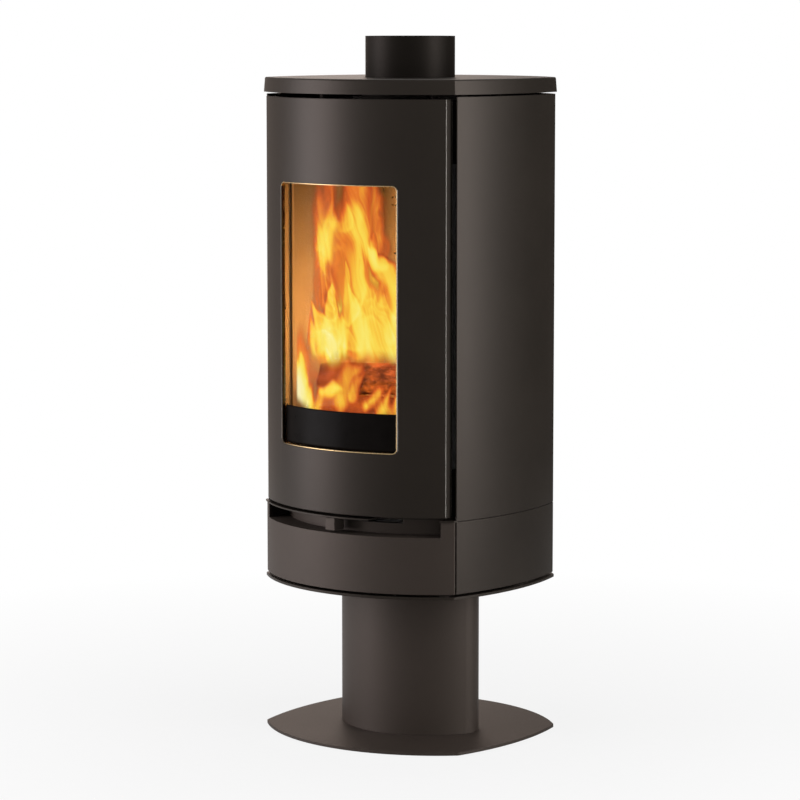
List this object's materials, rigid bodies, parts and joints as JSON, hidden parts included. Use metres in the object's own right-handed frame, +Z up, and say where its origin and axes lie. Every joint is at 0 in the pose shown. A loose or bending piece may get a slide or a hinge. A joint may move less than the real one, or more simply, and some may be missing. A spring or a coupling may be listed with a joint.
{
  "type": "wood burning stove",
  "caption": "Free-standing wood stove on a pedestal: bowed sheet body, tall hinged glazed door, hidden latch, swinging air lever in a slot, lined firebox and top flue outlet.",
  "frame": {"origin": "on the floor, at the middle of the base plate", "axes": "+Z up, the door faces -Y and is hinged on the -X side"},
  "size_m": [0.46, 0.4569, 1.2045],
  "materials": {
    "stove_paint": "matt heat-proof paint, warm brown-black",
    "bare_steel": "plain mild steel, slightly heat-tinted",
    "cast_iron": "matt black casting",
    "lining_board": "pressed vermiculite, matt and speckled",
    "glass": "clear glass ceramic",
    "rope": "braided glass-fibre rope",
    "brass": "turned brass",
    "firewood": "charred split logs"
  },
  "bodies": {
    "root": {"base_plate": "stove_paint", "column": "stove_paint", "column_flanges": "bare_steel", "column_bolts": "bare_steel", "bottom_plate": "stove_paint", "air_duct": "bare_steel", "air_box": "bare_steel", "support_left": "bare_steel", "support_right": "bare_steel", "shelf_plate": "stove_paint", "lower_front_panel": "stove_paint", "slot_pocket": "stove_paint", "lower_side_panel_left": "stove_paint", "lower_side_panel_right": "stove_paint", "lower_rear_panel": "stove_paint", "air_lever_pin": "bare_steel", "firebox": "cast_iron", "front_frame": "cast_iron", "lining_left": "lining_board", "lining_right": "lining_board", "lining_back_lower": "lining_board", "lining_back_upper": "lining_board", "lining_base": "lining_board", "grate": "cast_iron", "log_guard": "cast_iron", "firewood": "firewood", "baffle_lower": "lining_board", "baffle_upper": "cast_iron", "ash_box": "bare_steel", "ash_pan": "bare_steel", "ash_pan_front": "cast_iron", "flue_collar": "cast_iron", "flue_pipe": "stove_paint", "top_plate": "stove_paint", "top_plate_posts": "stove_paint", "side_panel_left": "stove_paint", "side_panel_right": "stove_paint", "rear_panel": "stove_paint", "rear_heat_shield": "bare_steel", "side_shield_left": "bare_steel", "side_shield_right": "bare_steel", "shield_bolts": "bare_steel", "hinge_bracket_upper": "cast_iron", "hinge_bracket_lower": "cast_iron", "hinge_pins": "bare_steel", "latch_catches": "cast_iron"},
    "door": {"door_skin": "stove_paint", "door_frame": "cast_iron", "door_glass": "glass", "glass_gasket": "rope", "glass_clips": "bare_steel", "clip_screws": "bare_steel", "door_rope_seal": "rope", "hinge_bushes": "brass"},
    "latch": {"latch_rod": "bare_steel", "latch_hooks": "bare_steel", "latch_lever": "bare_steel"},
    "air_control": {"air_lever": "bare_steel", "air_lever_knob": "stove_paint"}
  },
  "joints": [
    {"name": "door_hinge", "type": "hinge", "parent": "root", "child": "door", "pos_m": [-0.1782, -0.14753, 0.738], "axis": [0, 0, -1], "range_deg": [0, 100]},
    {"name": "latch_turn", "type": "hinge", "parent": "door", "child": "latch", "pos_m": [0.1782, -0.14753, 0.738], "axis": [0, 0, 1], "range_deg": [-28, 0]},
    {"name": "air_lever_swing", "type": "hinge", "parent": "root", "child": "air_control", "pos_m": [0, 0.06869, 0.393], "axis": [0, 0, 1], "range_deg": [-22, 22]}
  ]
}
